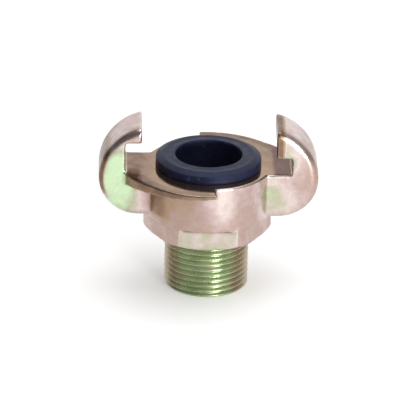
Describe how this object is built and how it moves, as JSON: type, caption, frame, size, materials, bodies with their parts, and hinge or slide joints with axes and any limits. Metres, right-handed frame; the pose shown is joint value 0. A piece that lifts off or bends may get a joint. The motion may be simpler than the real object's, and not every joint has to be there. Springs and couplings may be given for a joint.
{
  "type": "claw hose coupling",
  "caption": "Zinc-plated claw hose coupling half with curved locking claws, cam flanges, a black rubber seal, a hexagon and a male pipe thread.",
  "frame": {"origin": "middle of the thread's end face, which is also the middle of the part's bottom", "axes": "+Z along the air passage from the thread towards the seal, X through the two claws, Y across them"},
  "size_m": [0.0686, 0.0506, 0.055],
  "materials": {
    "zinc": "shiny yellow passivated zinc plating on a casting",
    "rubber": "satin black moulded rubber"
  },
  "bodies": {
    "root": {"body": "zinc", "seal": "rubber"}
  },
  "joints": []
}
